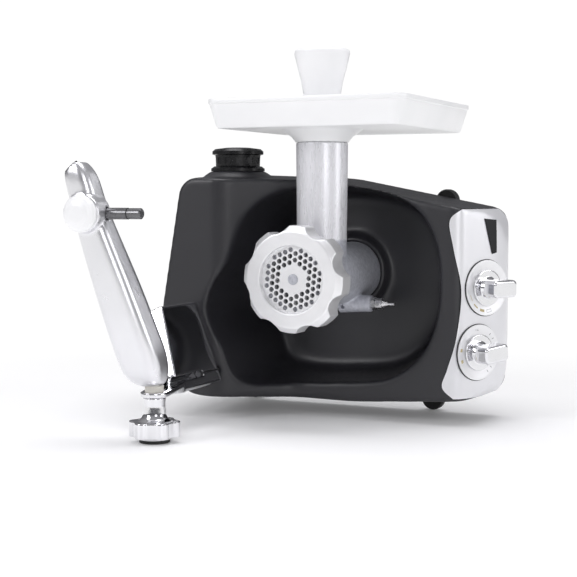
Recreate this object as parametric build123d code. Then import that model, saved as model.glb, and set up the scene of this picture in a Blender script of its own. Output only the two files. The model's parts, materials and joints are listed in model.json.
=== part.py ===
from build123d import *
import os
from math import atan2, cos, pi, radians, sin, tan

# A kitchen machine lying on its side, with a meat mincer on its drive hub.
# Millimetres. X runs towards the control panel, Y towards the machine's underside, Z up.
# While it is built, x = 0 and z = drive_z is the drive axis, and y = 0 is the feed tube's axis.
# At the end everything moves so that the origin is under the middle of the whole box.

# ---- driving dimensions ----
drive_z = 160.0            # height of the drive axis over the table
gap = 0.3                  # air between bodies that move past each other
running = 0.06             # radial play of a shaft in its bore
wall = 4.5                 # housing wall
tower_front = -25.0        # front of the tower, along Y
rim_front = 32.0           # front of the rim round the bowl recess
underside = 128.0          # back edge of the housing
recess_floor = 97.0        # bottom of the bowl recess
recess_z = 150.0           # height of the recess's centre
barrel_back = 94.0
barrel_r = 34.0
bore_r = 28.5
tube_r = 28.0
tube_top = 303.3
pusher_r = 21.4
tray_x = 223.0
tray_y = 229.0
tray_rim = 348.0
tray_depth = 31.0
pivot_x = -105.3           # axis of the swinging arm, parallel to Z
pivot_y = -178.0
panel_lean = 29.0          # degrees between the panel's normal and +X
panel_mid = (162.6, 65.8)  # x and y of the dials' line on the housing's leaning end
panel_skin = 1.6           # the panel lies on the housing
gear_module = 1.0
pinion_teeth = 20
gear_teeth = 100

parts = {}


def cyl_y(radius, y0, y1, x=0.0, z=drive_z):
    """Cylinder along Y between two planes."""
    return Pos(x, (y0 + y1) / 2, z) * Rot(90, 0, 0) * Cylinder(radius, abs(y1 - y0))


def cyl_z(radius, z0, z1, x=0.0, y=0.0):
    return Pos(x, y, (z0 + z1) / 2) * Cylinder(radius, abs(z1 - z0))


def cyl_x(radius, x0, x1, y=0.0, z=drive_z):
    return Pos((x0 + x1) / 2, y, z) * Rot(0, 90, 0) * Cylinder(radius, abs(x1 - x0))


def cone_y(r0, r1, y0, y1, x=0.0, z=drive_z):
    """Cone along Y: r0 at y0 and r1 at y1, with y1 the larger."""
    return Pos(x, (y0 + y1) / 2, z) * Rot(-90, 0, 0) * Cone(r0, r1, y1 - y0)


def block(x0, x1, y0, y1, z0, z1):
    return Pos((x0 + x1) / 2, (y0 + y1) / 2, (z0 + z1) / 2) * Box(x1 - x0, y1 - y0, z1 - z0)


def front_plane(y):
    """Sketch plane at depth y with sketch x along X and sketch y along Z."""
    return Plane(origin=(0, y, 0), x_dir=(1, 0, 0), z_dir=(0, -1, 0))


def slab_y(face, y0, y1):
    """Extrude a face drawn in the X-Z plane from y0 to y1."""
    return extrude(front_plane(y1) * face, amount=y1 - y0)


def revolve_y(points, x=0.0, z=drive_z):
    """Turn a closed outline of (radius, y) points about the line along Y through x, z."""
    outline = make_face(Polyline(*[(r, y) for r, y in points], close=True))
    turned = revolve(outline, Axis.Y, 360)
    return Pos(x, 0, z) * turned


def revolve_z(points, x=0.0, y=0.0):
    """Turn a closed outline of (radius, z) points about the vertical line through x, y."""
    outline = make_face(Polyline(*[(r, z) for r, z in points], close=True))
    return Pos(x, y, 0) * revolve(Plane.XZ * outline, Axis.Z, 360)


# ---- housing ----
side_corners = [
    # x, z, corner radius, sideways growth towards the underside
    (-160, 269, 24, -12),
    (-10, 262.5, 150, 0),
    (168, 228, 22, 0),
    (181, 155, 250, 0),
    (165, 28, 26, 0),
    (20, 19, 300, 0),
    (-168, 22, 45, -10),
    (-189, 100, 120, -12),
]


def side_face(grow, lean):
    """The housing seen from the front; lean 0 at the tower front, 1 at the underside."""
    points = []
    for x, z, _, sideways in side_corners:
        points.append((x + lean * sideways, z))
    outline = FilletPolyline(*points, radius=[corner[2] for corner in side_corners], close=True)
    face = make_face(outline)
    if grow == 0:
        return face
    return offset(face, grow)


lean_start = panel_mid[0] - (panel_mid[1] - rim_front) * tan(radians(panel_lean))
plan_corners = [
    # x, y, corner radius
    (-240, tower_front, 0),
    (-112, tower_front, 38),
    (-46, rim_front, 45),
    (lean_start, rim_front, 14),
    (170.4, 79.9, 40),
    (177.5, 100, 25),
    (162, 150, 0),
    (-240, 150, 0),
]


def plan_solid(shrink):
    """The housing's profile seen from above, as a tall prism."""
    points = [(x, y) for x, y, _ in plan_corners]
    outline = FilletPolyline(*points, radius=[corner[2] for corner in plan_corners], close=True)
    face = make_face(outline)
    if shrink:
        face = offset(face, -shrink)
    return Pos(0, 0, -20) * extrude(face, amount=340)


def body_block(shrink, back):
    """The closed outer shape of the housing, shrunk by a wall."""
    front = front_plane(-60) * side_face(-shrink - 3.0, 0)
    rear = front_plane(back) * side_face(4.0 - shrink, 1)
    drafted = loft([front, rear], ruled=True)
    return drafted & plan_solid(shrink)


recess_points = [
    # x and height from recess_z of the bowl recess's outline, at the rim
    (16, 108), (62, 100), (98, 80), (117, 48), (123, 6), (119, -38), (103, -74),
    (70, -101), (16, -110), (-50, -113), (-91, -101), (-104, -66), (-120, -26),
    (-112, 0), (-99, 22), (-88, 62), (-68, 92), (-34, 106),
]


def recess_face(scale, y):
    points = [(x * scale, recess_z + dz * scale) for x, dz in recess_points]
    return front_plane(y) * make_face(Spline(*points, periodic=True))


def recess_block(grow):
    """The space of the bowl recess: it narrows towards its floor."""
    bigger = 1 + grow / 105
    front = recess_face(1.128 * bigger, -50)
    floor = recess_face(0.90 * bigger, recess_floor + grow)
    return loft([front, floor], ruled=True)


panel_edge = [
    # x and z down the control panel's left edge, with its waist
    (146, 232), (134, 219), (138.5, 190), (146.2, 146), (142, 95), (133, 62), (127, 42), (139, 29.5),
]


def panel_mask(grow):
    """Front outline of the control panel as a prism along Y."""
    left = Spline(*panel_edge)
    outline = left + Polyline(panel_edge[-1], (230, 29.5), (230, 232), panel_edge[0])
    face = make_face(outline)
    if grow:
        face = offset(face, grow)
    return slab_y(face, 20, 114 + grow)


lean_x = cos(radians(panel_lean))
lean_y = -sin(radians(panel_lean))


def panel_point(z, along=0.0, out=0.0):
    """A point on the leaning panel face: along it in plan, and out along its normal."""
    x = panel_mid[0] - along * lean_y + out * lean_x
    y = panel_mid[1] + along * lean_x + out * lean_y
    return (x, y, z)


def panel_plane(z, along=0.0, out=0.0):
    """Sketch plane on the panel face: its normal points out, its x runs along the face."""
    return Plane(origin=panel_point(z, along, out), x_dir=(-lean_y, lean_x, 0), z_dir=(lean_x, lean_y, 0))


# the panel's outer face is panel_skin out from the housing
speed_at = (147.5, 0.0)
timer_at = (78.5, -11.5)
dial_r = 30.0

outer = body_block(0, underside)
inner = body_block(wall, underside + 1) - recess_block(wall)
housing = outer - recess_block(0) - inner
housing += cone_y(37.5, 46, 85, recess_floor) + cyl_y(45.5, recess_floor, 104)
housing -= cyl_y(barrel_r + gap, 80, barrel_back)
housing -= cyl_y(14.0, 90, 96)
housing -= cyl_y(20.0, 95.5, 120)

# screw posts for the base plate and the gearbox plate, standing on the front wall inside
post_places = [(-150, 60), (-168, 238), (145, 212), (140, 46), (-20, 244), (0, 36)]
inside = body_block(wall - 1, underside) - recess_block(wall - 1)
for x, z in post_places:
    start = tower_front if x < -100 else rim_front
    housing += cyl_y(6.5, start, 124.8, x, z) & inside
    housing -= cyl_y(1.7, 100, 130, x, z)

# idler shaft seat behind the recess floor
idler_x = -59.1
idler_z = 170.4
housing += cyl_y(9, 99, 106, idler_x, idler_z)
housing -= cyl_y(4 + running, 99, 130, idler_x, idler_z)

for z, along in (speed_at, timer_at):
    housing -= panel_plane(z, along, -14) * extrude(Circle(8), amount=14)

cap_x = -120.0
cap_y = 36.0
cap_boss = revolve_z([(0, 262), (40, 262), (40, 267.5), (31, 274), (0, 274)], cap_x, cap_y)
housing += cap_boss - body_block(1, underside)
housing -= cyl_z(21, 240, 280, cap_x, cap_y)
inlet_z = 140.0
inlet_y = 100.0
housing -= cyl_x(10.2, -220, -175, inlet_y, inlet_z)

bracket_lean = [(-108, 40), (-143, 130), (-170, 116), (-141, 40)]
bolt_places = [(-129, 53.8, 5.0), (-117, 53.8, 4.0)]
for x, z, _ in bolt_places:
    housing -= cyl_y(3.0, tower_front - 1, tower_front + 12, x, z)
parts["housing"] = housing

# ---- underside ----
plate_face = side_face(4.0 - wall - 0.4, 1)
base_plate = slab_y(plate_face, 125, 128) & plan_solid(wall + 0.4)
for x, z in post_places:
    base_plate -= cyl_y(2.2, 120, 130, x, z)
foot_places = [(83, 13.2), (98, 240.5), (-146, 13.2), (-150, 244)]
foot_r = 13.2
foot_profile = [(0, 128), (foot_r - 1.5, 128), (foot_r, 131), (foot_r, 138), (foot_r - 3, 141), (0, 141)]
feet = Part()
for x, z in foot_places:
    feet += revolve_y(foot_profile, x, z)
base_screws = Part()
for x, z in post_places:
    base_screws += cyl_y(3.6, 128, 129.6, x, z) + cyl_y(1.65, 112, 128, x, z)
parts["base_plate"] = base_plate
parts["base_screws"] = base_screws
parts["rubber_feet"] = feet

# ---- control panel ----
panel = (panel_mask(0) & body_block(-panel_skin, underside)) - body_block(0, underside)
for z, along in (speed_at, timer_at):
    panel -= panel_plane(z, along, -14) * extrude(Circle(8), amount=20)
parts["control_panel"] = panel

badge_face = make_face(Polyline((-3.5, 19), (14.5, 17.5), (15.5, -18), (8.5, -19.5), close=True))
badge = panel_plane(203, 0, panel_skin + 0.02) * extrude(badge_face, amount=1.0)
parts["badge_plate"] = badge


def dial_ring(z, along):
    """Dished ring round a knob: a raised lip, a slope and a seat for the knob."""
    profile = [(12.2, 0.05), (dial_r, 0.05), (dial_r, 2.2), (dial_r - 1.6, 2.2), (21, 1.2), (12.2, 1.2)]
    outline = make_face(Polyline(*profile, close=True))
    ring = revolve(Plane.XZ * outline, Axis.Z, 360)
    return panel_plane(z, along, panel_skin) * ring


def knob(z, along, tilt):
    """Round base, waisted stem and a broad grip bar, with the shaft that turns the control."""
    disc = Pos(0, 0, 2.9) * Cylinder(19.5, 2.6)
    stem = Pos(0, 0, 9) * Cone(11.5, 8.5, 9.4)
    grip = Pos(1.5, 0, 21) * Box(33, 18.5, 17)
    grip = fillet(grip.edges().filter_by(Axis.Z), 5)
    grip = fillet(grip.edges().group_by(Axis.Z)[-1], 2.5)
    shaft = Pos(0, 0, -5) * Cylinder(3, 14.2)
    return panel_plane(z, along, panel_skin) * (Rot(0, 0, tilt) * (disc + stem + grip + shaft))


def control_box(z, along, width, height):
    box = Pos(0, 0, -11.6) * Box(width, height, 13)
    collar = Pos(0, 0, -4.0) * Cylinder(6.0, 4)
    bore = Pos(0, 0, -8) * Cylinder(3 + running, 30)
    return panel_plane(z, along) * (box + collar - bore)


parts["speed_dial_ring"] = dial_ring(*speed_at)
parts["timer_dial_ring"] = dial_ring(*timer_at)
parts["speed_knob"] = knob(*speed_at, 0)
parts["timer_knob"] = knob(*timer_at, 6)
parts["speed_control"] = control_box(*speed_at, 22, 26)
parts["timer_module"] = control_box(*timer_at, 24, 30)

# ---- side cap ----
collar = revolve_z([(21.2, 274.02), (30.5, 274.02), (30.5, 277), (27, 279.5), (21.2, 279.5)], cap_x, cap_y)
collar += cyl_z(20.8, 262, 274.02, cap_x, cap_y) - cyl_z(18.5, 250, 290, cap_x, cap_y)
collar += cyl_z(21.2, 274.02, 279.5, cap_x, cap_y) - cyl_z(18.5, 250, 290, cap_x, cap_y)
cap_profile = [(0, 279.9), (25, 279.9), (25.6, 292), (29, 293), (29, 296.5), (26, 299), (14, 300.6), (0, 301)]
cap = revolve_z(cap_profile, cap_x, cap_y)
cap += cyl_z(18.5 - running, 268, 280.5, cap_x, cap_y) - cyl_z(15, 260, 277, cap_x, cap_y)
for step in range(12):
    turned = Pos(cap_x, cap_y, 0) * Rot(0, 0, step * 30) * Pos(25.8, 0, 286) * Box(2.4, 7, 7)
    cap -= turned
parts["side_cap_collar"] = collar
parts["side_cap"] = cap

# ---- motor, belt and gears ----
motor_x = -138.0
motor_z = 195.0
stator = cyl_y(28.5, -4, 72, motor_x, motor_z) - cyl_y(18.5, -1, 69, motor_x, motor_z)
stator -= cyl_y(7.0, -10, 80, motor_x, motor_z)
for step in range(8):
    slot = Rot(90, 0, 0) * Box(5, 3, 40)
    angle = radians(step * 45)
    stator -= Pos(motor_x + 27.5 * cos(angle), 34, motor_z + 27.5 * sin(angle)) * Rot(0, -step * 45, 0) * slot
rotor = cyl_y(17.6, 6, 62, motor_x, motor_z) + cyl_y(4, -14, 121.5, motor_x, motor_z)
rotor += cyl_y(9, 0.5, 5, motor_x, motor_z)
for step in range(12):
    angle = radians(step * 30)
    rotor -= cyl_y(1.8, 4, 64, motor_x + 16.5 * cos(angle), motor_z + 16.5 * sin(angle))
motor_bearings = Part()
for y0 in (-4, 67.5):
    motor_bearings += cyl_y(7, y0, y0 + 4.5, motor_x, motor_z) - cyl_y(4 + running, y0 - 1, y0 + 6, motor_x, motor_z)
fan = cyl_y(7, -16.5, -6, motor_x, motor_z)
for step in range(9):
    blade = Pos(motor_x, -11, motor_z) * Rot(0, step * 40, 0) * Pos(15, 0, 0) * Rot(35, 0, 0) * Box(20, 1.4, 9)
    fan += blade
fan -= cyl_y(4, -20, 0, motor_x, motor_z)

small_r = 10.0
large_r = 35.0
belt_y = (115.5, 121.3)


def pulley(radius, x, z, bore, teeth):
    wheel = cyl_y(radius, belt_y[0], belt_y[1], x, z)
    for step in range(teeth):
        angle = 2 * pi * step / teeth
        wheel -= cyl_y(0.7, belt_y[0] - 1, belt_y[1] + 1, x + radius * cos(angle), z + radius * sin(angle))
    return wheel - cyl_y(bore, belt_y[0] - 1, belt_y[1] + 1, x, z)


def belt_loop():
    """Belt round both pulleys: two circles and their tangent band, less the same shrunk."""
    def loop(extra):
        near = Pos(motor_x, motor_z) * Circle(small_r + extra)
        far = Pos(idler_x, idler_z) * Circle(large_r + extra)
        return make_hull(near.edges() + far.edges())
    return slab_y(loop(2.2) - loop(gap), belt_y[0] + 0.2, belt_y[1] - 0.2)


def gear(teeth, x, z, y0, y1, bore, phase):
    """Spur gear with straight-flanked teeth, thin enough to turn without touching."""
    pitch_r = teeth * gear_module / 2
    root_r = pitch_r - 1.2 * gear_module
    tip_r = pitch_r + 0.85 * gear_module
    step = 2 * pi / teeth
    points = []
    for tooth in range(teeth):
        middle = phase + tooth * step
        for share, radius in ((-0.34, root_r), (-0.12, tip_r), (0.12, tip_r), (0.34, root_r)):
            angle = middle + share * step
            points.append((x + radius * cos(angle), z + radius * sin(angle)))
    face = make_face(Polyline(*points, close=True))
    return slab_y(face, y0, y1) - cyl_y(bore, y0 - 1, y1 + 1, x, z)


mesh_angle = atan2(idler_z - drive_z, idler_x)
gear_y = (107.0, 114.0)
output_gear = gear(gear_teeth, 0, drive_z, *gear_y, 8, mesh_angle)
for step in range(6):
    angle = radians(step * 60 + 30)
    output_gear -= cyl_y(11, 100, 120, 29 * cos(angle), drive_z + 29 * sin(angle))
pinion_phase = mesh_angle + pi + pi / pinion_teeth
pinion = gear(pinion_teeth, idler_x, idler_z, *gear_y, 4, pinion_phase)
large_pulley = pulley(large_r, idler_x, idler_z, 4, 66)
idler_shaft = cyl_y(4, 100, 124.5, idler_x, idler_z)
parts["motor_stator"] = stator
parts["motor_rotor"] = rotor
parts["motor_bearings"] = motor_bearings
parts["cooling_fan"] = fan
parts["motor_pulley"] = pulley(small_r, motor_x, motor_z, 4, 19)
parts["toothed_belt"] = belt_loop()
parts["large_pulley"] = large_pulley
parts["drive_pinion"] = pinion
parts["idler_shaft"] = idler_shaft
parts["output_gear"] = output_gear

motor_mount = cyl_y(31, 72, 75, motor_x, motor_z) - cyl_y(7, 70, 80, motor_x, motor_z)
for angle in (40, 150, 270):
    px = motor_x + 26 * cos(radians(angle))
    pz = motor_z + 26 * sin(radians(angle))
    motor_mount += cyl_y(3.5, 75, 122, px, pz)
gearbox_face = make_hull(
    (Pos(0, drive_z) * Circle(24)).edges()
    + (Pos(motor_x, motor_z) * Circle(31)).edges()
    + (Pos(idler_x, idler_z - 10) * Circle(20)).edges()
)
gearbox_plate = slab_y(gearbox_face, 122, 125)
gearbox_plate -= cyl_y(12 + running, 110, 130)
gearbox_plate -= cyl_y(4 + running, 110, 130, idler_x, idler_z)
gearbox_plate -= cyl_y(6, 110, 130, motor_x, motor_z)
parts["motor_mount"] = motor_mount
parts["gearbox_plate"] = gearbox_plate

hex_flat = 12.4
socket = extrude(front_plane(105) * RegularPolygon(hex_flat / 2, 6, major_radius=False), amount=20)
spindle = cyl_y(13, 96.3, 104.5) + cyl_y(8, 104, 124.8)
spindle -= Pos(0, 0, drive_z) * socket
front_bearing = cyl_y(20, 95.6, 103.6) - cyl_y(13 + running, 90, 110)
rear_bearing = cyl_y(12, 119.5, 124.9) - cyl_y(8 + running, 110, 130)
parts["drive_spindle"] = spindle
parts["spindle_front_bearing"] = front_bearing
parts["spindle_rear_bearing"] = rear_bearing

# ---- power inlet on the far end ----
inlet = cyl_x(10, -204, -176, inlet_y, inlet_z) + cyl_x(14, -207, -202.6, inlet_y, inlet_z)
inlet -= cyl_x(7.5, -210, -190, inlet_y, inlet_z)
for side in (-3.2, 3.2):
    inlet += cyl_x(1.2, -200, -189, inlet_y + side, inlet_z)
parts["power_inlet"] = inlet

# ---- arm bracket, fixed to the tower ----
bracket_face = make_face(Polyline(*bracket_lean, close=True))
bracket = slab_y(bracket_face, -124, tower_front)
slope_cut = Pos(-135, -124, 40) * Rot(-16, 0, 0) * Pos(0, -40, 60) * Box(120, 80, 200)
bracket -= slope_cut
bracket = fillet(bracket.edges().filter_by(Axis.Y), 3.5)
lug = make_hull((Pos(-124, -112) * Circle(15)).edges() + (Pos(pivot_x, pivot_y) * Circle(14)).edges())
bracket += Pos(0, 0, 40) * extrude(Pos(-124, -112) * Circle(15), amount=10.5)
bracket += Pos(0, 0, 45.5) * extrude(lug, amount=5)
for x, z, r in bolt_places:
    bracket -= cyl_y(r, -140, -60, x, z) + cyl_y(3.0, -62, -20, x, z)
bracket -= cyl_z(5.2 + running, 40, 60, pivot_x, pivot_y)
bolts = Part()
for x, z, r in bolt_places:
    bolts += cyl_y(r - 0.4, -66, -60, x, z) + cyl_y(2.8, -60, tower_front + 8, x, z)
parts["arm_bracket"] = bracket
parts["bracket_bolts"] = bolts

# ---- swinging arm ----
arm_sections = [
    # z, centre x, centre y, half width, half depth, corner
    (57.2, -107.5, -181, 10.5, 10, 8),
    (61, -108.5, -183, 16, 14.5, 11),
    (68, -110, -185, 20, 18, 13),
    (82, -112.5, -187.5, 23, 20, 14),
    (112, -119, -195, 23.5, 20, 14),
    (150, -129, -203, 22, 19, 13),
    (205, -145, -213, 18.5, 17, 12),
    (248, -156, -220, 15.5, 15.5, 11),
    (270, -161, -223, 13, 13.5, 9),
    (279, -163, -225, 8, 9, 5),
]
sections = []
for z, x, y, half_x, half_y, corner in arm_sections:
    sections.append(Pos(x, y, z) * RectangleRounded(2 * half_x, 2 * half_y, corner))
arm = loft(sections)
knob_z = 229.0
knob_x = -150.5
shaft_y = -217.0
shaft_end_r = 5.4
arm += cyl_y(18.9, -236.5, -213, knob_x, knob_z)
arm -= cyl_y(3.5 + running, -240, -219, knob_x, knob_z)
arm -= cyl_x(5.7, -146, -100, shaft_y, knob_z)
arm -= cyl_z(5.2 + running, 50, 92, pivot_x, pivot_y)
plug_plane = Plane(origin=(-167, -227, 273.5), z_dir=(-0.62, -0.32, 0.72))
arm -= plug_plane * extrude(Circle(8.2), amount=20)
end_plug = plug_plane * Pos(0, 0, 0.02) * extrude(Circle(7.8), amount=2.2)
parts["arm"] = arm
parts["arm_end_plug"] = end_plug
roller_shaft = cyl_x(5.7, -146, -110, shaft_y, knob_z) + cyl_x(4.8, -112, -105, shaft_y, knob_z)
roller_shaft += cyl_x(shaft_end_r, -107.4, -94.5, shaft_y, knob_z)
roller_shaft = chamfer(roller_shaft.edges().group_by(Axis.X)[-1], 1.2)
parts["roller_shaft"] = roller_shaft
dome = [(0, -248.5), (8, -248), (13, -246.6), (16.6, -244), (18.2, -241), (18.2, -238.2), (0, -238.2)]
adjuster = revolve_y(dome, knob_x, knob_z)
adjuster += cyl_y(3.5, -238.2, -220, knob_x, knob_z)
parts["adjuster_knob"] = adjuster

# ---- lock knob: it clamps the arm's pivot and is the front foot ----
star = Part() + Circle(22)
for step in range(6):
    angle = radians(step * 60 + 20)
    star += Pos(18 * cos(angle), 18 * sin(angle)) * Circle(8)
star_solid = Pos(pivot_x, pivot_y, 5.5) * extrude(star, amount=16)
lock_knob = star_solid + cyl_z(17, 3.0, 6, pivot_x, pivot_y)
neck = [(0, 21), (18, 21), (13.6, 24), (11.6, 28), (10.8, 37), (11.4, 45.2), (0, 45.2)]
lock_knob += revolve_z(neck, pivot_x, pivot_y)
lock_knob -= cyl_z(4.9, 25, 60, pivot_x, pivot_y)
lock_stud = cyl_z(4.9, 25, 45.2, pivot_x, pivot_y) + cyl_z(5.2, 45.2, 88, pivot_x, pivot_y)
lock_pad = cyl_z(15.5, 0, 3.0, pivot_x, pivot_y)
pivot_washer = cyl_z(9.5, 50.6, 57.0, pivot_x, pivot_y) - cyl_z(5.2 + running, 50, 60, pivot_x, pivot_y)
parts["lock_knob"] = lock_knob
parts["lock_knob_stud"] = lock_stud
parts["lock_knob_pad"] = lock_pad
parts["pivot_washer"] = pivot_washer

# ---- mincer ----
mincer = cyl_y(barrel_r, -60, barrel_back)
mincer += cone_y(41, barrel_r, -60, -40)
mincer += cyl_y(41, -72, -59.9)
tube_body = Pos(0, 0, (drive_z + tube_top) / 2) * Cone(26.6, tube_r, tube_top - drive_z)
mincer += tube_body
mincer = mincer - cyl_y(bore_r, -80, 80) - cyl_z(25, drive_z, tube_top + 5)
mincer -= cyl_y(37.6, -75, -69)
mincer -= cyl_y(9.4, 70, 100)
screw_y = 48.0
screw_z = 127.5
mincer += Pos(21, screw_y, screw_z) * Rot(0, 90, 0) * Cone(11.5, 9.0, 38) - cyl_y(bore_r, -80, 80)
mincer -= cyl_x(3.0, 24, 50, screw_y, screw_z)
mincer -= cyl_y(2.4, 30, 44, 8, 123.5)
parts["mincer_housing"] = mincer

worm_bush = cyl_y(9.4, 80, barrel_back - 0.3) + cyl_y(14, 78.6, 80) - cyl_y(7 + running, 70, 100)
parts["worm_bush"] = worm_bush
flight_r = bore_r - 0.4
pitch = 30.0
worm_core = cyl_y(11, -58, 78.2) + cyl_y(7, 78.2, 96)
hex_tail = extrude(front_plane(104.6) * RegularPolygon(6.0, 6, major_radius=False), amount=10)
worm = worm_core + Pos(0, 0, drive_z) * hex_tail
spiral = Helix(pitch=pitch, height=126, radius=10)
flight_plane = Plane(origin=spiral @ 0, z_dir=spiral % 0, x_dir=(1, 0, 0))
flight_section = flight_plane * Pos((flight_r - 10) / 2, 0) * Rectangle(flight_r - 10, 4)
flight = sweep(flight_section, path=spiral, is_frenet=True)
worm += Pos(0, 72, drive_z) * Rot(90, 0, 0) * flight
worm -= cyl_y(30, 78.21, 79) - cyl_y(7, 70, 90)
square_front = block(-5.5, 5.5, -68.5, -57, drive_z - 5.5, drive_z + 5.5)
worm += square_front
worm += cyl_y(5.6 - running, -75.6, -68)
worm += revolve_y([(0, -76.8), (3, -76.5), (5.5, -75.5), (0, -75.5)])
parts["worm"] = worm
knife = cyl_y(12, -68.6, -60.5)
for step in range(4):
    blade = block(0, 27.5, -68.6, -62.5, drive_z - 5, drive_z + 3.5)
    turned = Pos(0, 0, drive_z) * Rot(0, step * 90, 0) * Pos(0, 0, -drive_z) * blade
    knife += turned
knife -= block(-5.55, 5.55, -80, -50, drive_z - 5.55, drive_z + 5.55)
parts["knife"] = knife

disc_r = 37.4
hole_r = 2.55
hole_pitch = 6.75
hole_disc = cyl_y(disc_r, -75, -69) - cyl_y(5.6, -80, -60)
hole_turn = 23.9           # the hexagons' corners are turned by this from +X
hole_sketch = Sketch()
for ring in (3, 4, 5):
    for side in range(6):
        corner = radians(hole_turn + side * 60)
        edge = corner + radians(120)
        first = 1 if ring == 5 else 0
        for step in range(first, ring):
            hole_x = hole_pitch * (ring * cos(corner) + step * cos(edge))
            hole_z = drive_z + hole_pitch * (ring * sin(corner) + step * sin(edge))
            hole_sketch += Pos(hole_x, hole_z) * Circle(hole_r)
hole_disc -= slab_y(hole_sketch, -80, -60)
parts["hole_disc"] = hole_disc

nut_r = 56.0
lobes = 8
nut_outline = Sketch() + Circle(nut_r)
for step in range(lobes):
    angle = radians(360 / lobes * (step + 0.5) - 5.5)
    nut_outline -= Pos(67 * cos(angle), 67 * sin(angle)) * Circle(17.5)
nut = slab_y(Pos(0, drive_z) * nut_outline, -82, -54)
nut &= cone_y(50, 66, -82, -66) + cyl_y(66, -66.01, -54)
nut -= cyl_y(35.4, -90, -70)
nut -= cyl_y(41 + gap, -75.02, -50)
parts["ring_nut"] = nut

nut_plane = Plane(origin=(40.0, screw_y, screw_z), z_dir=(1, 0, 0))
clamp_nut = extrude(nut_plane * RegularPolygon(7.2, 6), amount=4.5)
clamp_nut -= cyl_x(3.0, 30, 60, screw_y, screw_z)
clamp_screw = cyl_x(3.0 - running, 26, 50, screw_y, screw_z)
clamp_screw += Pos(48.75, screw_y, screw_z) * Rot(0, 90, 0) * Cylinder(6.2, 7.5)
clamp_screw += Pos(56, screw_y, screw_z) * Rot(0, 90, 0) * Cone(4.5, 1.6, 7)
clamp_screw += cyl_x(1.6, 59, 66, screw_y, screw_z)
clamp_screw += block(47, 51, screw_y - 9.5, screw_y + 9.5, screw_z - 1.6, screw_z + 1.6)
parts["clamp_nut"] = clamp_nut
parts["clamp_screw"] = clamp_screw

# ---- tray and pusher ----
tray_cx = 9.4
tray_cy = 34.9
tray_low = tray_rim - tray_depth


def tray_block(z0, z1, shrink):
    """Tapered tray body between two heights."""
    low = 8 * (tray_rim - z0) / tray_depth
    high = 8 * (tray_rim - z1) / tray_depth
    bottom = RectangleRounded(tray_x - 2 * (low + shrink), tray_y - 2 * (low + shrink), 16)
    top = RectangleRounded(tray_x - 2 * (high + shrink), tray_y - 2 * (high + shrink), 16)
    return loft([Pos(tray_cx, tray_cy, z0) * bottom, Pos(tray_cx, tray_cy, z1) * top], ruled=True)


tray = tray_block(tray_low, tray_rim, 0) - tray_block(tray_low + 3, tray_rim + 0.01, 3)
collar_profile = [
    (24.7, 284), (24.7, tube_top + gap), (28.5, tube_top + gap), (33, 309),
    (44, tray_low + 1), (44, tray_low + 2.9), (23.6, tray_low + 2.9), (23.6, 284),
]
tray += revolve_z(collar_profile)
tray -= cyl_z(23.6, 280, 340)
parts["tray"] = tray
plunger_profile = [(0, 190.5), (19.6, 190.5), (pusher_r, 193), (pusher_r, 330), (19.4, 346), (0, 346)]
handle_profile = [
    (0, 346), (19.4, 346), (19.4, 350), (22.5, 368), (29.2, 395), (29.9, 399), (28.6, 401.6), (22, 403.4), (0, 404.2),
]
parts["pusher_plunger"] = revolve_z(plunger_profile)
parts["pusher_handle"] = revolve_z(handle_profile)

# ---- origin under the middle of the whole box, then one file for each piece ----
whole = Compound(children=[Part() + piece for piece in parts.values()]).bounding_box()
shift = Pos(-(whole.min.X + whole.max.X) / 2, -(whole.min.Y + whole.max.Y) / 2, -whole.min.Z)
print("shift", -(whole.min.X + whole.max.X) / 2, -(whole.min.Y + whole.max.Y) / 2, -whole.min.Z)
print("size", whole.size)
os.makedirs("parts", exist_ok=True)
for name, piece in parts.items():
    export_step(shift * piece, "parts/" + name + ".step")
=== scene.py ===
import bpy
import bmesh
import json
from math import cos, pi, radians, sin, tan
from mathutils import Matrix, Vector

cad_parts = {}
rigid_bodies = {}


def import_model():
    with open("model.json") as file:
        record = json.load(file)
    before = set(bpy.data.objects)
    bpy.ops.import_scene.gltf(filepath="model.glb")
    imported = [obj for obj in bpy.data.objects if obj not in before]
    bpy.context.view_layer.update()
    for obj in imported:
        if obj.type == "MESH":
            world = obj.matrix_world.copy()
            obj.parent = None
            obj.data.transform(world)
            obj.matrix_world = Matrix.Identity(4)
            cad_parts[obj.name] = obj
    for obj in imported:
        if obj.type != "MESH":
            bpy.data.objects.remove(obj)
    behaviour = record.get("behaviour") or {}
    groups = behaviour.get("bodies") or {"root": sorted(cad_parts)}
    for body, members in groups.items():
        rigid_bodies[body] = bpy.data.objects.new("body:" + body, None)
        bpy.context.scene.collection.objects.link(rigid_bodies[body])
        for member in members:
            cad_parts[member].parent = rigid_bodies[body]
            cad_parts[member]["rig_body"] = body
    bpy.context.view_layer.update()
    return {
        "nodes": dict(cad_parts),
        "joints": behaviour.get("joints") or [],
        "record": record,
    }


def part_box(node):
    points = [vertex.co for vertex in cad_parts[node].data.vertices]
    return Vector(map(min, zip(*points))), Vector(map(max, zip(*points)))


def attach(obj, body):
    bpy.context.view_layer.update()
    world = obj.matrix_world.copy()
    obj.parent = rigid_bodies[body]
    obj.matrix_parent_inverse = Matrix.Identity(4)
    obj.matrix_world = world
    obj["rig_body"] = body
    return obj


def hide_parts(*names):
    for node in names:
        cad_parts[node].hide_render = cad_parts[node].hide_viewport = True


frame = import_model()
nodes = frame["nodes"]
mm = 0.001
print("frame loaded with", len(nodes), "nodes")


# where things are, from the frame
def middle(node):
    low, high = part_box(node)
    return (low + high) / 2


driveAxis = middle("hole_disc")       # its x and z lie on the drive axis
tubeAxis = middle("pusher_handle")    # its x and y lie on the feed tube's axis


def added(name, data):
    # a new object in the scene
    thing = bpy.data.objects.new(name, data)
    bpy.context.scene.collection.objects.link(thing)
    return thing


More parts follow.
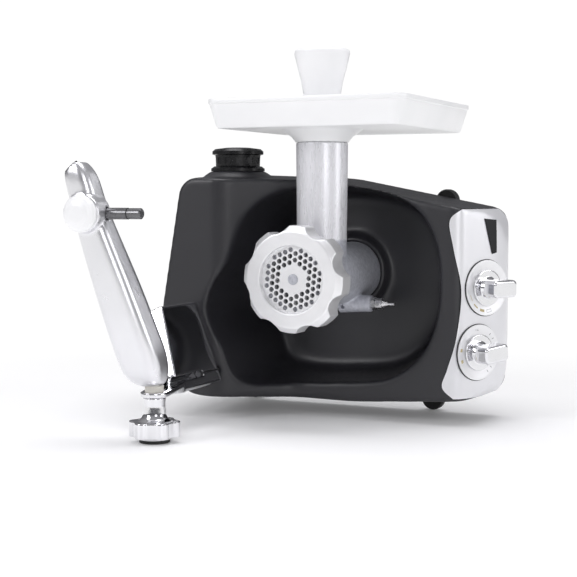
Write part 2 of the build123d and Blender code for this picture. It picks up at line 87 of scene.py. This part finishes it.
def closedMesh(shape, name):
    # the finished mesh of a shape, with its faces turned outward
    bmesh.ops.recalc_face_normals(shape, faces=shape.faces)
    mesh = bpy.data.meshes.new(name)
    shape.to_mesh(mesh)
    shape.free()
    return mesh


# finishes: colour drift, roughness grain and fine relief, all from position
def addNoise(tree, place, scale, detail=3.0, stretch=None):
    noise = tree.nodes.new("ShaderNodeTexNoise")
    noise.inputs["Scale"].default_value = scale
    noise.inputs["Detail"].default_value = detail
    source = place.outputs["Object"]
    if stretch:
        mapping = tree.nodes.new("ShaderNodeMapping")
        mapping.inputs["Scale"].default_value = stretch
        tree.links.new(source, mapping.inputs["Vector"])
        source = mapping.outputs["Vector"]
    tree.links.new(source, noise.inputs["Vector"])
    return noise.outputs["Fac"]


def addRange(tree, value, low, high, fromLow=0.3, fromHigh=0.7):
    # noise keeps mostly between 0.3 and 0.7
    spread = tree.nodes.new("ShaderNodeMapRange")
    spread.inputs["From Min"].default_value = fromLow
    spread.inputs["From Max"].default_value = fromHigh
    spread.inputs["To Min"].default_value = low
    spread.inputs["To Max"].default_value = high
    tree.links.new(value, spread.inputs["Value"])
    return spread.outputs["Result"]


def addMix(tree, factor, first, second):
    mix = tree.nodes.new("ShaderNodeMix")
    mix.data_type = "RGBA"           # its colours go in at 6 and 7
    mix.inputs[6].default_value = (*first, 1)
    mix.inputs[7].default_value = (*second, 1)
    tree.links.new(factor, mix.inputs[0])
    return mix.outputs[2]


def makeFinish(name, look):
    material = bpy.data.materials.new(name)
    material.use_nodes = True
    tree = material.node_tree
    shader = tree.nodes["Principled BSDF"]
    place = tree.nodes.new("ShaderNodeTexCoord")
    shader.inputs["Metallic"].default_value = look.get("metal", 0.0)
    shader.inputs["Specular IOR Level"].default_value = look.get("specular", 0.5)
    stretch = look.get("stretch")
    drift = addRange(tree, addNoise(tree, place, look.get("driftScale", 35)), 0, 1)
    tree.links.new(addMix(tree, drift, look["tone"], look["tone2"]), shader.inputs["Base Color"])
    grain = addNoise(tree, place, look["grainScale"], 4.0, stretch)
    tree.links.new(addRange(tree, grain, *look["rough"]), shader.inputs["Roughness"])
    bump = tree.nodes.new("ShaderNodeBump")
    bump.inputs["Strength"].default_value = look["relief"]
    bump.inputs["Distance"].default_value = look.get("reliefDepth", 0.0002)
    tree.links.new(addNoise(tree, place, look["reliefScale"], 2.0, stretch), bump.inputs["Height"])
    tree.links.new(bump.outputs["Normal"], shader.inputs["Normal"])
    shader.inputs["Emission Color"].default_value = (1, 1, 1, 1)
    shader.inputs["Emission Strength"].default_value = look.get("glow", 0)
    return material


looks = {
    "graphitePaint": {
        "tone": (0.0150, 0.0148, 0.0182), "tone2": (0.0190, 0.0186, 0.0225), "driftScale": 12,
        "rough": (0.36, 0.44), "grainScale": 260, "relief": 0.10, "reliefScale": 900,
        "specular": 0.55,
    },
    "silverPaint": {
        "tone": (0.76, 0.76, 0.78), "tone2": (0.80, 0.80, 0.82), "metal": 0.40, "driftScale": 20,
        "rough": (0.30, 0.38), "grainScale": 500, "relief": 0.06, "reliefScale": 1600,
    },
    "chrome": {
        "tone": (0.76, 0.76, 0.775), "tone2": (0.80, 0.80, 0.815), "metal": 1.0,
        "rough": (0.06, 0.09), "grainScale": 180, "relief": 0.01, "reliefScale": 300,
    },
    "polishedAluminium": {
        "tone": (0.77, 0.77, 0.79), "tone2": (0.80, 0.80, 0.82), "metal": 0.92, "driftScale": 25,
        "rough": (0.27, 0.31), "grainScale": 60, "relief": 0.004, "reliefScale": 90,
        "reliefDepth": 0.001,
    },
    "mirrorAluminium": {
        "tone": (0.74, 0.74, 0.76), "tone2": (0.78, 0.78, 0.80), "metal": 1.0, "driftScale": 25,
        "rough": (0.07, 0.10), "grainScale": 300, "relief": 0.01, "reliefScale": 500,
    },
    "satinAluminium": {
        "tone": (0.84, 0.84, 0.85), "tone2": (0.89, 0.89, 0.90), "metal": 0.7, "driftScale": 40,
        "rough": (0.36, 0.46), "grainScale": 600, "relief": 0.12, "reliefScale": 1500,
    },
    "castAluminium": {
        "tone": (0.40, 0.41, 0.455), "tone2": (0.56, 0.57, 0.62), "metal": 0.30, "driftScale": 260,
        "rough": (0.40, 0.55), "grainScale": 420, "relief": 0.30, "reliefScale": 800,
    },
    "steel": {
        "tone": (0.62, 0.62, 0.63), "tone2": (0.72, 0.72, 0.73), "metal": 1.0,
        "rough": (0.20, 0.32), "grainScale": 300, "relief": 0.05, "reliefScale": 900,
    },
    "darkSteel": {
        "tone": (0.13, 0.13, 0.135), "tone2": (0.19, 0.19, 0.195), "metal": 0.9,
        "rough": (0.24, 0.36), "grainScale": 350, "relief": 0.08, "reliefScale": 900,
        "stretch": (0.15, 1, 1),
    },
    "whitePlastic": {
        "tone": (0.88, 0.885, 0.89), "tone2": (0.92, 0.92, 0.925), "driftScale": 15,
        "rough": (0.28, 0.38), "grainScale": 300, "relief": 0.04, "reliefScale": 900,
    },
    # real black plastic, and also the colour of the painted shade in the panel's seam and in the
    # dials' gaps
    "blackPlasticAndGapShade": {
        "tone": (0.006, 0.006, 0.007), "tone2": (0.010, 0.010, 0.011), "specular": 0.3,
        "rough": (0.22, 0.34), "grainScale": 300, "relief": 0.08, "reliefScale": 1100,
    },
    "blackRubber": {
        "tone": (0.010, 0.010, 0.010), "tone2": (0.017, 0.017, 0.017),
        "rough": (0.55, 0.72), "grainScale": 420, "relief": 0.25, "reliefScale": 1300,
    },
    "nylon": {
        "tone": (0.62, 0.60, 0.54), "tone2": (0.70, 0.68, 0.62),
        "rough": (0.40, 0.52), "grainScale": 250, "relief": 0.06, "reliefScale": 800,
    },
    "copperWinding": {
        "tone": (0.50, 0.22, 0.10), "tone2": (0.66, 0.32, 0.15), "metal": 0.9,
        "rough": (0.28, 0.42), "grainScale": 700, "relief": 0.5, "reliefScale": 500,
        "stretch": (1, 0.05, 1),
    },
    "bearingBronze": {
        "tone": (0.52, 0.36, 0.16), "tone2": (0.60, 0.43, 0.20), "metal": 0.95,
        "rough": (0.30, 0.45), "grainScale": 350, "relief": 0.1, "reliefScale": 800,
    },
    "badgeBlack": {
        "tone": (0.006, 0.006, 0.008), "tone2": (0.010, 0.010, 0.012), "specular": 0.25,
        "rough": (0.30, 0.40), "grainScale": 200, "relief": 0.02, "reliefScale": 900,
    },
    "goldPrint": {
        "tone": (0.50, 0.42, 0.22), "tone2": (0.58, 0.49, 0.28), "metal": 0.3,
        "rough": (0.40, 0.50), "grainScale": 900, "relief": 0.05, "reliefScale": 1500,
    },
    "greyPrint": {
        "tone": (0.30, 0.30, 0.31), "tone2": (0.36, 0.36, 0.37),
        "rough": (0.40, 0.50), "grainScale": 900, "relief": 0.05, "reliefScale": 1500,
    },
}
finishes = {name: makeFinish(name, look) for name, look in looks.items()}


# the mincer: cast on its barrel, smooth and polished on its feed tube
tubeLook = {
    "plain": "castAluminium", "tone": (0.80, 0.80, 0.83), "rough": (0.24, 0.34), "grainScale": 260,
    "stretch": (1, 1, 0.12), "castRelief": 0.35, "relief": 0.03,
    "above": 39, "blend": 1.5,        # mm over the drive axis, and to each side of that height
}


def splitFinish(name, look):
    material = finishes[look["plain"]].copy()
    material.name = name
    tree = material.node_tree
    shader = tree.nodes["Principled BSDF"]
    place = tree.nodes.new("ShaderNodeTexCoord")
    parts = tree.nodes.new("ShaderNodeSeparateXYZ")
    tree.links.new(place.outputs["Object"], parts.inputs["Vector"])
    height = driveAxis.z + look["above"] * mm
    blend = look["blend"] * mm
    reach = (height - blend, height + blend)
    above = addRange(tree, parts.outputs["Z"], 0, 1, *reach)
    grain = addNoise(tree, place, look["grainScale"], 3.0, look["stretch"])
    smoothRough = addRange(tree, grain, *look["rough"])
    castRough = shader.inputs["Roughness"].links[0].from_socket
    rough = tree.nodes.new("ShaderNodeMix")
    tree.links.new(above, rough.inputs["Factor"])
    tree.links.new(castRough, rough.inputs["A"])
    tree.links.new(smoothRough, rough.inputs["B"])
    tree.links.new(rough.outputs["Result"], shader.inputs["Roughness"])
    castTone = shader.inputs["Base Color"].links[0].from_socket
    tone = addMix(tree, above, look["tone"], look["tone"])
    tree.links.new(castTone, tone.node.inputs[6])
    tree.links.new(tone, shader.inputs["Base Color"])
    bump = shader.inputs["Normal"].links[0].from_node
    depth = addRange(tree, parts.outputs["Z"], look["castRelief"], look["relief"], *reach)
    tree.links.new(depth, bump.inputs["Strength"])
    return material


finishes["barrelAndTube"] = splitFinish("barrelAndTube", tubeLook)

# the finish of each material slot in the frame
slotFinish = {
    "graphite_paint": "graphitePaint", "silver_paint": "silverPaint", "chrome": "chrome",
    "polished_aluminium": "polishedAluminium", "cast_aluminium": "castAluminium",
    "satin_aluminium": "satinAluminium", "steel": "steel", "dark_steel": "darkSteel",
    "white_plastic": "whitePlastic", "black_plastic": "blackPlasticAndGapShade", "black_rubber": "blackRubber",
    "nylon": "nylon", "copper_winding": "copperWinding", "bearing_bronze": "bearingBronze",
    "badge_black": "badgeBlack",
}
slotOf = {part["node"]: part["material_slot"] for part in frame["record"]["subparts"]}


def dress(thing, finish):
    thing.data.materials.clear()
    thing.data.materials.append(finishes[finish])


for name, thing in nodes.items():
    dress(thing, slotFinish[slotOf[name]])
dress(nodes["knife"], "darkSteel")
print("finishes made:", len(finishes))


def finishedPiece(mesh, name, finish, *stoodFor):
    # a piece that stands in for the named nodes, and moves with the first
    thing = added(name, mesh)
    dress(thing, finish)
    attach(thing, nodes[stoodFor[0]]["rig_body"])
    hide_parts(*stoodFor)
    return thing


def loosePiece(mesh, name, finish):
    # a piece on the drive unit that stands in for nothing
    thing = added(name, mesh)
    dress(thing, finish)
    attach(thing, "root")
    return thing


def settled(thing, name):
    # the mesh with its modifiers applied, on its own
    bpy.context.view_layer.update()
    seen = thing.evaluated_get(bpy.context.evaluated_depsgraph_get())
    mesh = bpy.data.meshes.new_from_object(seen)
    mesh.name = name
    bpy.data.objects.remove(thing)
    return mesh


def softMesh(node, size, passes, name):
    # one continuous skin over the CAD shape, with its edges eased
    mesh = nodes[node].data.copy()
    shape = bmesh.new()
    shape.from_mesh(mesh)
    bmesh.ops.remove_doubles(shape, verts=shape.verts, dist=1e-6)
    shape.to_mesh(mesh)
    shape.free()
    thing = added(name, mesh)
    skin = thing.modifiers.new("skin", "REMESH")
    skin.mode = "VOXEL"
    skin.voxel_size = size
    skin.use_smooth_shade = True
    ease = thing.modifiers.new("ease", "SMOOTH")
    ease.factor = 0.5
    ease.iterations = passes
    return settled(thing, name)


bowl = {
    # mm from the drive axis, and mm behind the feed tube's axis
    "nearest": 56, "farthest": 138, "start": 48, "end": 103,
    "fadeDeep": 14, "fadeAway": 12, "passes": 110,
}


def softenBowl(mesh, name):
    # the recess is one soft bowl: its floor rolls up into its sides, away from the hub
    thing = added(name, mesh)
    group = thing.vertex_groups.new(name="bowl")
    start = tubeAxis.y + bowl["start"] * mm
    end = tubeAxis.y + bowl["end"] * mm
    near = bowl["nearest"] * mm
    for vertex in mesh.vertices:
        spot = vertex.co
        if not start < spot.y < end:
            continue
        away = Vector((spot.x - driveAxis.x, spot.z - driveAxis.z)).length
        if away < near or away > bowl["farthest"] * mm:
            continue
        deep = min(1, (spot.y - start) / (bowl["fadeDeep"] * mm))
        clear = min(1, (away - near) / (bowl["fadeAway"] * mm))
        group.add([vertex.index], deep * clear, "REPLACE")
    roll = thing.modifiers.new("roll", "SMOOTH")
    roll.factor = 0.5
    roll.iterations = bowl["passes"]
    roll.vertex_group = "bowl"
    return settled(thing, name)


softPieces = {
    # node: piece name, skin size in mm, easing passes, finish
    "housing": ("housingShell", 2.3, 16, "graphitePaint"),
    "arm": ("armCasting", 1.1, 16, "polishedAluminium"),
    "badge_plate": ("badgeBody", 0.35, 6, "badgeBlack"),
    "arm_bracket": ("bracketCasting", 0.9, 5, "mirrorAluminium"),
    "ring_nut": ("ringNutBody", 0.8, 3, "satinAluminium"),
    "lock_knob": ("lockKnobBody", 0.7, 5, "chrome"),
    "mincer_housing": ("mincerCasting", 1.1, 3, "barrelAndTube"),
    "speed_knob": ("speedKnobBody", 0.5, 3, "chrome"),
    "timer_knob": ("timerKnobBody", 0.5, 3, "chrome"),
}
softened = {}
for node, (name, size, passes, finish) in softPieces.items():
    mesh = softMesh(node, size * mm, passes, name)
    if node == "housing":
        mesh = softenBowl(mesh, name)
    softened[node] = finishedPiece(mesh, name, finish, node)
    print("softened", node, len(mesh.polygons), "faces")


# the control panel: a skin on the housing, cut to its waisted outline
panelShape = {
    # x and z from the drive axis, in mm, down the left edge
    "leftEdge": [(146, 72), (134, 59), (138.5, 30), (146.2, -14),
                 (142, -65), (133, -98), (127, -118), (139, -130.5)],
    # seam and seamThick size a black band of painted shade round the panel's edge
    "right": 226, "depth": (20, 114), "thick": 1.6, "seam": 0.9, "seamThick": 0.7,
    "perSpan": 8, "sharp": 40,       # points between two of the edge's, and a crease in degrees
}


def throughPoints(points, perSpan):
    # a smooth curve through the points
    full = [2 * points[0] - points[1]] + points + [2 * points[-1] - points[-2]]
    curve = []
    for a, b, c, d in zip(full, full[1:], full[2:], full[3:]):
        for step in range(perSpan):
            t = step / perSpan
            curve.append(0.5 * (2 * b + (c - a) * t + (2 * a - 5 * b + 4 * c - d) * t * t
                                + (3 * b - a - 3 * c + d) * t ** 3))
    return curve + [points[-1]]


def prismAlongY(outline, y0, y1, name):
    shape = bmesh.new()
    front = [shape.verts.new((x, y0, z)) for x, z in outline]
    back = [shape.verts.new((x, y1, z)) for x, z in outline]
    shape.faces.new(front)
    shape.faces.new(back[::-1])
    for i in range(len(front)):
        j = (i + 1) % len(front)
        shape.faces.new((front[j], front[i], back[i], back[j]))
    return closedMesh(shape, name)


def panelOutline(grow):
    # closed in x and z; grow widens it on every side but the right
    left = [Vector(p) for p in panelShape["leftEdge"]]
    outline = []
    for p in throughPoints(left, panelShape["perSpan"]):
        outline.append((driveAxis.x + (p.x - grow) * mm, driveAxis.z + p.y * mm))
    top = driveAxis.z + (left[0].y + grow) * mm
    low = driveAxis.z + (left[-1].y - grow) * mm
    outline[0] = (outline[0][0], top)
    outline[-1] = (outline[-1][0], low)
    far = driveAxis.x + panelShape["right"] * mm
    return outline + [(far, low), (far, top)]


def housingSkin(name, thick, grow):
    # the housing's own surface inside the outline, lifted by its thickness
    thing = added(name, softened["housing"].data.copy())
    lift = thing.modifiers.new("lift", "DISPLACE")
    lift.mid_level = 0.0
    lift.strength = thick * mm
    y0, y1 = panelShape["depth"]
    start = tubeAxis.y + (y0 - grow) * mm
    end = tubeAxis.y + (y1 + grow) * mm
    cutter = added("cutter", prismAlongY(panelOutline(grow), start, end, "cutter"))
    cut = thing.modifiers.new("cut", "BOOLEAN")
    cut.operation = "INTERSECT"
    cut.solver = "MANIFOLD"
    cut.object = cutter
    mesh = settled(thing, name)
    bpy.data.objects.remove(cutter)
    for face in mesh.polygons:
        face.use_smooth = True
    mesh.set_sharp_from_angle(angle=radians(panelShape["sharp"]))
    return mesh


panelMesh = housingSkin("panelSkin", panelShape["thick"], 0)
panelSkin = finishedPiece(panelMesh, "panelSkin", "silverPaint", "control_panel")
# the seam: a black band round the panel, darker than the housing's paint: painted shade in the gap
# between panel and housing
seamShadeMesh = housingSkin("panelSeamShade", panelShape["seamThick"], panelShape["seam"])
panelSeamShade = loosePiece(seamShadeMesh, "panelSeamShade", "blackPlasticAndGapShade")
print("panel made", len(panelSkin.data.polygons), "faces")


def roundedLoop(halfX, halfY, corner, z, perCorner=12):
    points = []
    for side, (sx, sy) in enumerate(((1, 1), (-1, 1), (-1, -1), (1, -1))):
        cx = sx * (halfX - corner)
        cy = sy * (halfY - corner)
        for step in range(perCorner):
            angle = (side + step / (perCorner - 1)) * pi / 2
            points.append((cx + corner * cos(angle), cy + corner * sin(angle), z))
    return points


def circleLoop(radius, z, perCorner=12):
    points = []
    for side in range(4):
        for step in range(perCorner):
            angle = (side + (step + 0.5) / perCorner) * pi / 2
            points.append((radius * cos(angle), radius * sin(angle), z))
    return points


crease = 35                          # degrees between faces that makes an edge sharp


def skinned(loops, name, place, around=True):
    # skins loops of equal count, and joins the last to the first or else caps both ends
    shape = bmesh.new()
    rings = [[shape.verts.new(Vector(p) * mm + place) for p in loop] for loop in loops]
    pairs = list(zip(rings, rings[1:]))
    if around:
        pairs.append((rings[-1], rings[0]))
    for one, two in pairs:
        for i in range(len(one)):
            j = (i + 1) % len(one)
            shape.faces.new((one[i], one[j], two[j], two[i]))
    if not around:
        shape.faces.new(rings[0][::-1])
        shape.faces.new(rings[-1])
    mesh = closedMesh(shape, name)
    for face in mesh.polygons:
        face.use_smooth = True
    mesh.set_sharp_from_angle(angle=radians(crease))
    return mesh


# the tray: one moulding, a dish round a collar
trayShape = {
    "long": 229, "wide": 223, "corner": 16, "depth": 31, "taper": 8, "wall": 3,
    "collar": 24.7, "bore": 23.6, "step": 19.6,        # the collar's radii, and its plain height
    "flare": [(28.5, 19.6), (33, 25)], "flareEnd": 44,  # radius and height up to the floor
}


def makeTray():
    # loops run up the outside, over the rim and down the inside
    low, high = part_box("tray")
    centre = (low + high) / 2
    s = trayShape
    rim = (high.z - low.z) / mm          # z counts from the collar's lower end
    floor = rim - s["depth"]
    dx = (tubeAxis.x - centre.x) / mm
    dy = (tubeAxis.y - centre.y) / mm
    halfX = s["wide"] / 2
    halfY = s["long"] / 2

    def rect(inset, z):
        return roundedLoop(halfX - inset, halfY - inset, max(s["corner"] - inset, 3), z)

    def ring(radius, z):
        return [(x + dx, y + dy, z) for x, y, z in circleLoop(radius, z)]

    t = s["taper"]
    w = s["wall"]
    bore = s["bore"]
    top = floor + w                      # the upper side of the dish's floor
    loops = [ring(s["collar"], 0), ring(s["collar"], s["step"])]
    loops += [ring(radius, z) for radius, z in s["flare"]] + [ring(s["flareEnd"], floor)]
    loops += [rect(t + 5, floor), rect(t + 2, floor + 0.5), rect(t + 0.6, floor + 2)]
    loops += [rect(t - 0.6, floor + 5), rect(1.6, rim - 7), rect(1.5, rim - 6)]
    loops += [rect(0.2, rim - 5), rect(0, rim - 4), rect(0, rim - 1), rect(0.3, rim - 0.3)]
    loops += [rect(1, rim), rect(2, rim), rect(2.7, rim - 0.3), rect(w, rim - 1)]
    loops += [rect(t + w - 1, top + 4), rect(t + w + 1, top + 1), rect(t + w + 4, top)]
    loops += [ring(s["flareEnd"], top), ring(bore + 2, top), ring(bore + 0.6, top - 0.4)]
    loops += [ring(bore, top - 1.5), ring(bore, 0)]
    return skinned(loops, "trayShell", Vector((centre.x, centre.y, low.z)))


trayShell = finishedPiece(makeTray(), "trayShell", "whitePlastic", "tray")

pusherProfile = [
    # radius and height, in mm, from the lower end
    (18.2, 0), (19.6, 0.4), (21, 1.6), (21.4, 3.5), (21.4, 139), (21.1, 142.5), (19.8, 155),
    (19.4, 157.5), (19.7, 162), (22.5, 178), (26, 191), (29.2, 204), (29.8, 207), (29.9, 208.5),
    (29.5, 210), (28.4, 211.3), (26, 212.3), (20, 213.2), (10, 213.6), (1, 213.7),
]
pusherNodes = sorted(name for name in nodes if name.startswith("pusher"))
low = min(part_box(name)[0].z for name in pusherNodes)
pusherLoops = [circleLoop(radius, z, 16) for radius, z in pusherProfile]
pusherFoot = Vector((tubeAxis.x, tubeAxis.y, low))
pusherMesh = skinned(pusherLoops, "pusherBody", pusherFoot, around=False)
pusherBody = finishedPiece(pusherMesh, "pusherBody", "whitePlastic", *pusherNodes)
print("tray and pusher made")


# printed marks on the dials
def dialPlace(node):
    # a frame on the dial: x along the panel, y up, z out of it
    axis = next(Vector(j["axis"]) for j in frame["joints"] if j["child"] == node)
    along = Vector((-axis.y, axis.x, 0))
    ring = node.replace("_knob", "_dial_ring")
    corners = nodes[ring].data.vertices
    centre = middle(ring)
    out = max((v.co - centre).dot(axis) for v in corners)
    place = Matrix((along, Vector((0, 0, 1)), axis)).transposed().to_4x4()
    place.translation = centre + axis * out
    return place


dialShape = {
    # mm and degrees; the print lies on a sloping ring, below the lip
    "lip": 30.0, "printR": 25.2, "printLow": 0.55, "thick": 0.12, "slope": 7.7, "arcStep": 4,
    "digits": 5.2, "digitsThick": 0.06, "digitsLift": 0.1,
    # the gap keys place a black ring of painted shade in the gap round the lip
    "gapOut": 0.3, "gapHeight": -1.75, "gapThick": 0.9, "gapSteps": 96,
}


def onDial(place, radius, angle, height):
    # a point on a dial, from mm and radians
    return place @ (Vector((radius * cos(angle), radius * sin(angle), height)) * mm)


def arcMark(shape, inner, outer, start, end, place):
    # a printed bar between two radii and two angles, on the dial's slope
    steps = max(2, int((end - start) / dialShape["arcStep"]))
    slope = tan(radians(dialShape["slope"]))
    rows = []
    for lift in (0, dialShape["thick"]):
        for radius in (inner, outer):
            height = lift - dialShape["printLow"] + (radius - dialShape["printR"]) * slope
            row = []
            for step in range(steps + 1):
                angle = radians(start + (end - start) * step / steps)
                row.append(shape.verts.new(onDial(place, radius, angle, height)))
            rows.append(row)
    ring = [rows[0], rows[1], rows[3], rows[2]]
    for one, two in zip(ring, ring[1:] + ring[:1]):
        for a, b, c, d in zip(one, one[1:], two[1:], two):
            shape.faces.new((a, b, c, d))
    for end in (0, -1):
        shape.faces.new([row[end] for row in ring])


def marksPiece(name, marks, place, finish):
    shape = bmesh.new()
    for inner, outer, start, end in marks:
        arcMark(shape, inner, outer, start, end, place)
    loosePiece(closedMesh(shape, name), name, finish)


speedPlace = dialPlace("speed_knob")
timerPlace = dialPlace("timer_knob")
speedMarks = [
    # inner and outer radius, first and last angle: a scale that grows from a line to a bar
    (24.6, 25.2, 196, 212), (24.2, 25.8, 222, 238), (23.6, 26.4, 247, 262),
]
marksPiece("speedScale", speedMarks, speedPlace, "goldPrint")
speedTopMarks = [
    # an open box at the top of the scale: two arcs and two ends
    (23.4, 23.9, 270, 286), (26.3, 26.8, 270, 286), (23.4, 26.8, 270, 271), (23.4, 26.8, 285, 286),
]
marksPiece("speedTop", speedTopMarks, speedPlace, "greyPrint")
timerTicks = [(23.8, 26.4, angle, angle + 2) for angle in range(-58, 62, 15)]
marksPiece("timerTicks", timerTicks, timerPlace, "greyPrint")
timerStopMarks = [(23.4, 26.8, 168, 176), (23.4, 26.8, 196, 204)]
marksPiece("timerStops", timerStopMarks, timerPlace, "goldPrint")


def printedNumber(name, text, angle, place):
    curve = bpy.data.curves.new(name, "FONT")
    curve.body = text
    curve.size = dialShape["digits"] * mm
    curve.extrude = dialShape["digitsThick"] * mm
    curve.align_x = "CENTER"
    curve.align_y = "CENTER"
    mesh = settled(added(name, curve), name)
    height = dialShape["digitsLift"] - dialShape["printLow"]
    spot = onDial(Matrix(), dialShape["printR"], radians(angle), height)
    mesh.transform(place @ Matrix.Translation(spot))
    loosePiece(mesh, name, "greyPrint")


printedNumber("timerTwelve", "12", 96, timerPlace)


def ringLine(name, radius, height, thick, place, finish):
    # a thin round line, such as the black ring of painted shade in the gap round a dial's lip
    shape = bmesh.new()
    around = dialShape["gapSteps"]
    rows = []
    for dr, dz in ((-1, -1), (1, -1), (1, 1), (-1, 1)):
        row = []
        for step in range(around):
            angle = 2 * pi * step / around
            spot = onDial(place, radius + dr * thick / 2, angle, height + dz * thick / 2)
            row.append(shape.verts.new(spot))
        rows.append(row)
    for one, two in zip(rows, rows[1:] + rows[:1]):
        for i in range(around):
            j = (i + 1) % around
            shape.faces.new((one[i], one[j], two[j], two[i]))
    loosePiece(closedMesh(shape, name), name, finish)


# a black ring in each dial's gap round the lip: painted shade, where the gap would be dark
gapRadius = dialShape["lip"] + dialShape["gapOut"]
for name, place in (("speedDialGap", speedPlace), ("timerDialGap", timerPlace)):
    ringLine(name, gapRadius, dialShape["gapHeight"], dialShape["gapThick"], place, "blackPlasticAndGapShade")
print("dials marked")


# floor, light and camera
floorShape = {
    # metres: half its side, where it starts to whiten and where it's white, and how far it lies low
    "half": 8, "clear": 0.24, "white": 0.85, "drop": 0.0005,
}
whiteGlow = 1.02                      # how bright the white away from the object is
floorMaterial = makeFinish("paleFloor", {
    "tone": (0.93, 0.93, 0.93), "tone2": (0.95, 0.95, 0.95), "driftScale": 3, "glow": 0.1,
    "rough": (0.55, 0.65), "grainScale": 60, "relief": 0.02, "reliefScale": 200,
})


def brightenAway(material, near, far):
    # the floor turns into plain white away from the object
    tree = material.node_tree
    place = tree.nodes.new("ShaderNodeTexCoord")
    length = tree.nodes.new("ShaderNodeVectorMath")
    length.operation = "LENGTH"
    tree.links.new(place.outputs["Object"], length.inputs[0])
    away = addRange(tree, length.outputs["Value"], 0, 1, near, far)
    glow = tree.nodes.new("ShaderNodeEmission")
    glow.inputs["Strength"].default_value = whiteGlow
    mix = tree.nodes.new("ShaderNodeMixShader")
    tree.links.new(away, mix.inputs["Fac"])
    tree.links.new(tree.nodes["Principled BSDF"].outputs["BSDF"], mix.inputs[1])
    tree.links.new(glow.outputs["Emission"], mix.inputs[2])
    tree.links.new(mix.outputs["Shader"], tree.nodes["Material Output"].inputs["Surface"])


brightenAway(floorMaterial, floorShape["clear"], floorShape["white"])
half = floorShape["half"]
floorMesh = bpy.data.meshes.new("floor")
corners = [(-half, -half, 0), (half, -half, 0), (half, half, 0), (-half, half, 0)]
floorMesh.from_pydata(corners, [], [(0, 1, 2, 3)])
floorMesh.materials.append(floorMaterial)
floor = added("floor", floorMesh)
floor.location.z = -floorShape["drop"]

lampTone = (0.98, 0.975, 1.0)
softBoxes = {
    # place, aim, size, power in watts
    "keyLeft": ((-1.25, -1.85, 1.3), (0, 0, 0.15), (1.0, 1.0), 21),
    "frontRight": ((1.5, -1.7, 0.8), (0, 0, 0.15), (0.8, 1.1), 9),
    "above": ((0.0, 0.1, 1.9), (0, 0, 0.2), (1.8, 1.0), 24),
    "rightSide": ((1.9, 0.3, 0.7), (0, 0, 0.15), (0.8, 1.0), 7),
}
for name, (spot, aim, size, power) in softBoxes.items():
    lamp = bpy.data.lights.new(name, "AREA")
    lamp.shape = "RECTANGLE"
    lamp.size, lamp.size_y = size
    lamp.energy = power
    lamp.color = lampTone
    thing = added(name, lamp)
    thing.location = spot
    thing.rotation_euler = (Vector(aim) - Vector(spot)).to_track_quat("-Z", "Y").to_euler()

# a soft studio all round, and plain white behind the object
studio = {"low": (0.16, 0.16, 0.175), "high": (0.58, 0.58, 0.60), "strength": 0.62}
world = bpy.data.worlds.new("studio")
bpy.context.scene.world = world
world.use_nodes = True
sky = world.node_tree
background = sky.nodes["Background"]
background.inputs["Strength"].default_value = studio["strength"]
direction = sky.nodes.new("ShaderNodeTexCoord")
parts = sky.nodes.new("ShaderNodeSeparateXYZ")
sky.links.new(direction.outputs["Generated"], parts.inputs["Vector"])
height = addRange(sky, parts.outputs["Z"], 0, 1, 0.0, 0.8)
sky.links.new(addMix(sky, height, studio["low"], studio["high"]), background.inputs["Color"])
white = sky.nodes.new("ShaderNodeBackground")
white.inputs["Strength"].default_value = whiteGlow
white.inputs["Color"].default_value = (1, 1, 1, 1)
ray = sky.nodes.new("ShaderNodeLightPath")
choose = sky.nodes.new("ShaderNodeMixShader")
sky.links.new(ray.outputs["Is Camera Ray"], choose.inputs["Fac"])
sky.links.new(background.outputs["Background"], choose.inputs[1])
sky.links.new(white.outputs["Background"], choose.inputs[2])
sky.links.new(choose.outputs["Shader"], sky.nodes["World Output"].inputs["Surface"])
bpy.context.scene.view_settings.view_transform = "Standard"

# place in metres, angles in degrees, lens and sensor in mm
cameraSet = {
    "place": (0.5788, -1.2737, 0.2463), "down": 3.98, "turn": 24.89, "lens": 83.2, "sensor": 36,
}
lens = bpy.data.cameras.new("camera")
lens.lens = cameraSet["lens"]
lens.sensor_width = cameraSet["sensor"]
camera = added("camera", lens)
camera.location = cameraSet["place"]
camera.rotation_euler = (radians(90 - cameraSet["down"]), 0, radians(cameraSet["turn"]))
bpy.context.scene.camera = camera
print("floor, lights and camera set")
